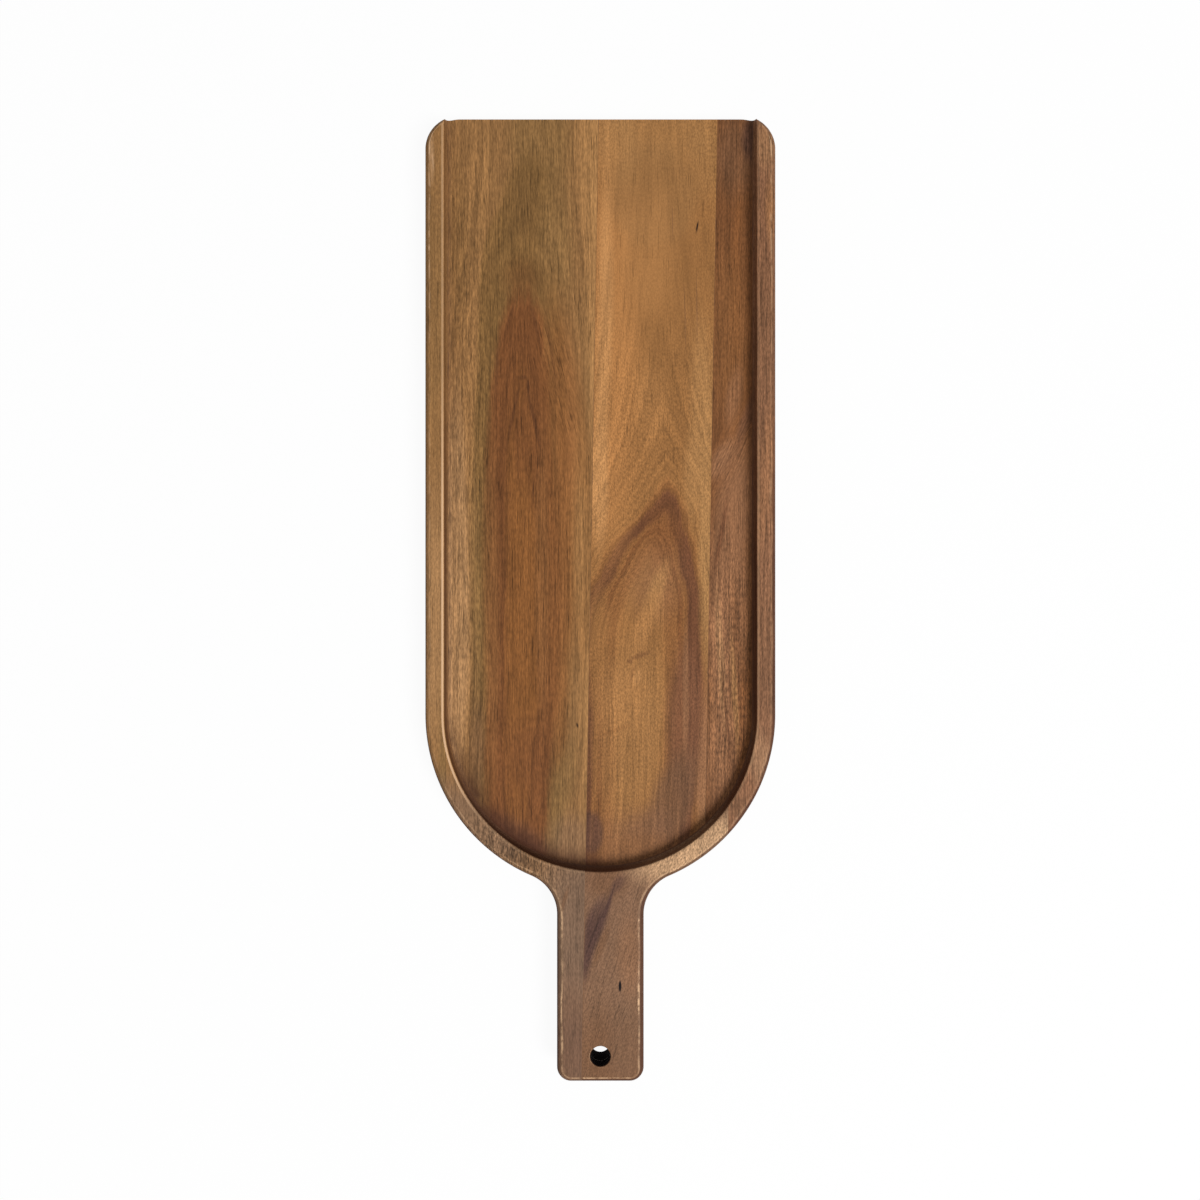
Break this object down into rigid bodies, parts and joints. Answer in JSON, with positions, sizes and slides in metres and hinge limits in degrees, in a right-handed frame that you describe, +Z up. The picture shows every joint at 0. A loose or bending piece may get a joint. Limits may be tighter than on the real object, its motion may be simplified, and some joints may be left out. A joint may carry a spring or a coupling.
{
  "type": "paddle serving board",
  "caption": "Wooden paddle serving board with a shallow tray, a raised rim on the sides and round end, an open end, and a handle with a hanging hole.",
  "frame": {"origin": "on the underside, halfway along the board and halfway across it", "axes": "+Z up out of the tray, +Y along the board to the open end, -Y to the handle, +X across the board"},
  "size_m": [0.2, 0.552, 0.018],
  "materials": {
    "base_left_wood": "oiled brown hardwood with a red-brown heart",
    "base_centre_wood": "oiled golden hardwood with a dark pointed figure",
    "base_right_wood": "oiled red-brown hardwood",
    "left_rail_wood": "oiled pale brown hardwood",
    "handle_wood": "oiled brown hardwood with dark streaks",
    "right_rail_wood": "oiled purple-brown hardwood",
    "glue": "dried wood glue, thin and dark"
  },
  "bodies": {
    "root": {"base_left_stave": "base_left_wood", "base_centre_stave": "base_centre_wood", "base_right_stave": "base_right_wood", "top_left_rail": "left_rail_wood", "top_handle_block": "handle_wood", "top_right_rail": "right_rail_wood", "base_left_glue": "glue", "base_right_glue": "glue", "top_left_glue": "glue", "top_right_glue": "glue", "panel_glue": "glue"}
  },
  "joints": []
}
